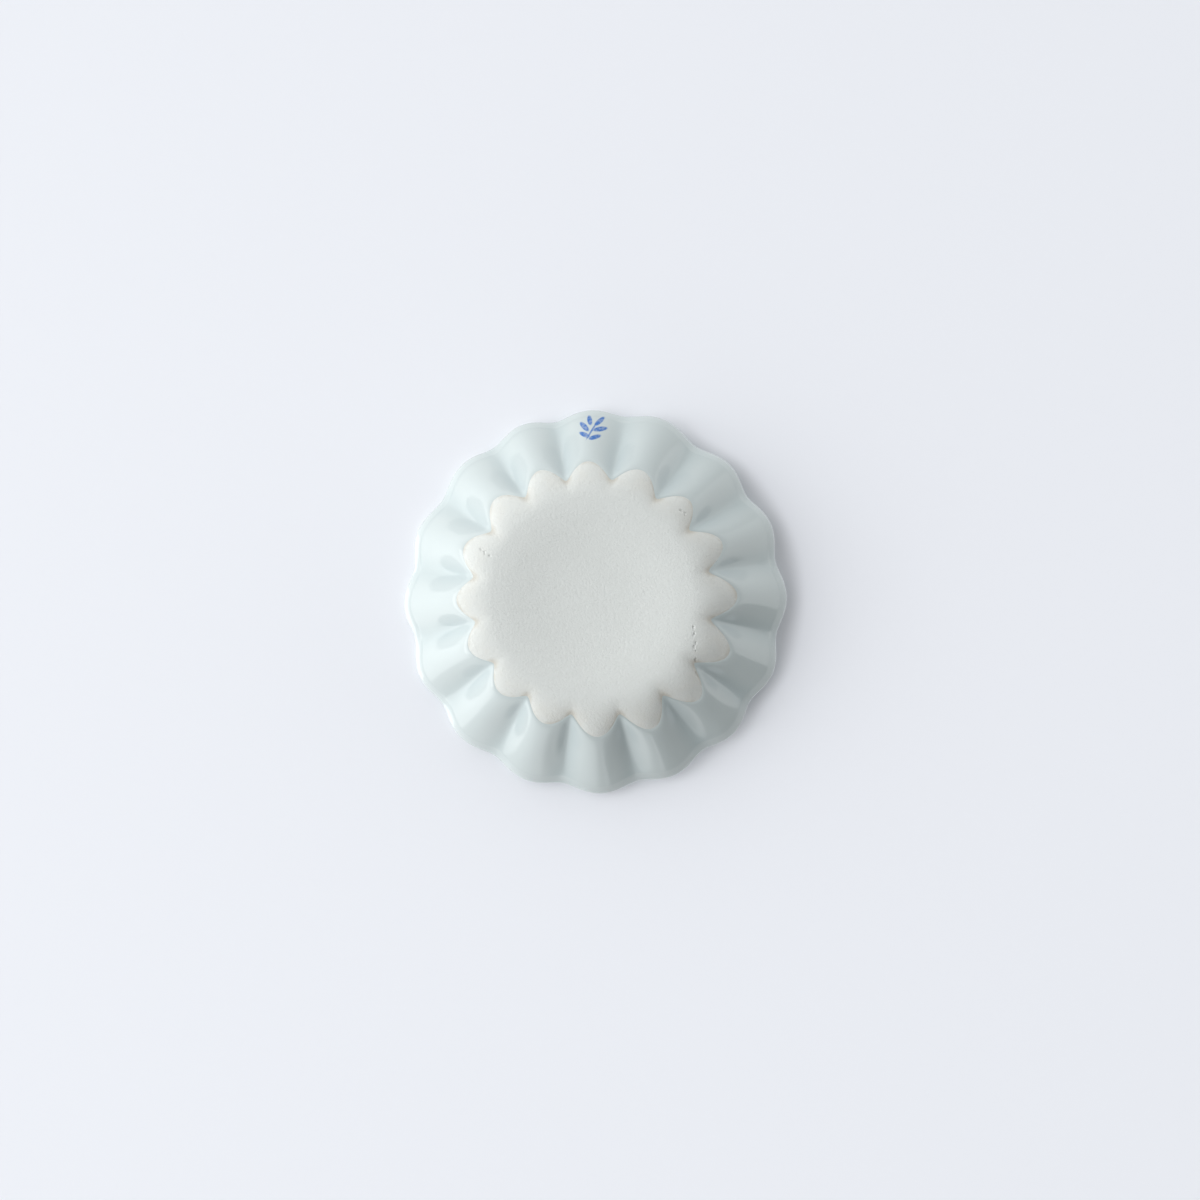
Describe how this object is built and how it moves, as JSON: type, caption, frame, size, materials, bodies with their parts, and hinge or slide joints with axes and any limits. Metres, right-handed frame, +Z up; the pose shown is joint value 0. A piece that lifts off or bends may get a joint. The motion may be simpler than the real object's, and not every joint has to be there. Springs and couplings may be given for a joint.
{
  "type": "sauce dish",
  "caption": "Small round porcelain sauce dish with a fluted chrysanthemum-petal wall, pale blue-green gloss glaze inside and out, and a bare flat foot.",
  "frame": {"origin": "middle of the flat foot, on the surface that the dish stands on", "axes": "+Z up out of the open side, along the dish's own axis; a petal's back faces +X and another faces -Y, the front"},
  "size_m": [0.09, 0.09, 0.016],
  "materials": {
    "bare_porcelain": "fired bare, fine matte grain",
    "celadon_glaze": "clear gloss, pale blue-green"
  },
  "bodies": {
    "root": {"porcelain_body": "bare_porcelain", "glaze_coat": "celadon_glaze"}
  },
  "joints": []
}
